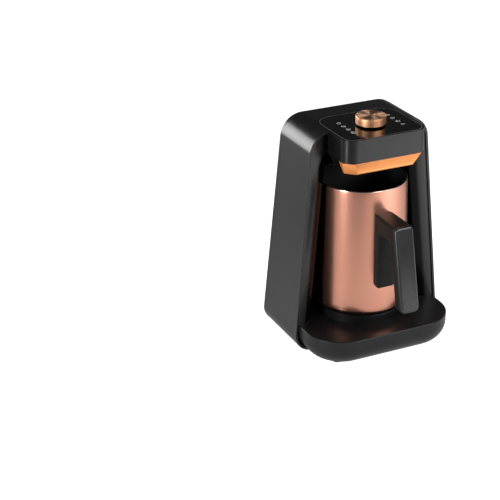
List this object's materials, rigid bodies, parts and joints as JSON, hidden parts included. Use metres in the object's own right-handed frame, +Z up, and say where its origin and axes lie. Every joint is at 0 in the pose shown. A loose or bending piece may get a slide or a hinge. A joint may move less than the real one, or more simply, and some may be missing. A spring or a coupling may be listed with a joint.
{
  "type": "electric turkish coffee maker",
  "caption": "Countertop coffee maker: a black sleeve housing with a heated alcove holds a copper-coloured pot with an open handle under a push-and-turn control knob.",
  "frame": {"origin": "on the ground under the middle of the bounding box", "axes": "+Z up, -Y towards the front with the handle, +X to the right seen from the front"},
  "size_m": [0.17, 0.1699, 0.2553],
  "materials": {
    "shell_black": "satin",
    "liner_black": "glossy",
    "head_black": "satin",
    "base_black": "satin",
    "panel_black": "glossy",
    "copper_trim": "brushed copper plating",
    "copper_knob": "brushed copper anodised",
    "copper_pot": "satin copper coat",
    "pot_disc": "satin",
    "collar_black": "satin",
    "plate_metal": "dark coated",
    "silicone": "matt",
    "foot_rubber": "matt",
    "steel": "plain",
    "handle_black": "satin",
    "board_green": "solder mask",
    "part_black": "matt",
    "part_yellow": "tape wrapped",
    "part_green": "matt",
    "knob_plastic": "matt",
    "window_dark": "dark translucent"
  },
  "bodies": {
    "housing": {"outer_shell": "shell_black", "alcove_liner": "liner_black", "rear_cover": "shell_black", "rear_cover_screws": "steel", "base_tray": "base_black", "base_pan": "base_black", "base_screws": "steel", "foot_front_left": "foot_rubber", "foot_front_right": "foot_rubber", "foot_rear_left": "foot_rubber", "foot_rear_right": "foot_rubber", "heater_collar": "collar_black", "heater_plate": "plate_metal", "heater_seal": "silicone", "heating_element": "steel", "heater_bracket": "steel", "plate_screws": "steel", "thermal_fuse": "part_black", "sensor_guide": "part_black", "head_housing": "head_black", "head_belly": "head_black", "trim_band": "copper_trim", "touch_panel": "panel_black", "sensor_window": "window_dark", "overflow_sensor": "part_black", "control_board": "board_green", "board_screws": "steel", "encoder_body": "part_black", "encoder_nut": "steel", "buzzer": "part_black", "power_board": "board_green", "power_posts": "part_black", "transformer": "part_yellow", "relay": "part_black", "terminal_block": "part_green", "capacitor": "part_black", "cord_gland": "part_black", "sensor_spring": "steel"},
    "push_plunger": {"encoder_plunger": "knob_plastic"},
    "knob": {"knob_cap": "copper_knob", "knob_hub": "knob_plastic", "encoder_shaft": "steel"},
    "sensor": {"sensor_cap": "steel"},
    "pot": {"pot_shell": "copper_pot", "pot_base_disc": "pot_disc", "handle_bracket": "steel", "handle": "handle_black", "grip_cover": "handle_black", "handle_screws": "steel"}
  },
  "joints": [
    {"name": "pot_slide", "type": "slide", "parent": "housing", "child": "pot", "axis": [0, -1, 0], "range_m": [0, 0.16]},
    {"name": "knob_push", "type": "slide", "parent": "housing", "child": "push_plunger", "axis": [0, 0, -1], "range_m": [0, 0.0006], "stiffness_N_per_m": 2000, "springref_m": -0.0005},
    {"name": "knob_turn", "type": "hinge", "parent": "push_plunger", "child": "knob", "pos_m": [0, 0.0067, 0.25], "axis": [0, 0, 1], "continuous": true},
    {"name": "sensor_press", "type": "slide", "parent": "housing", "child": "sensor", "axis": [0, 0, -1], "range_m": [0, 0.0015], "stiffness_N_per_m": 300, "springref_m": -0.002, "deforming": ["sensor_spring"]}
  ]
}
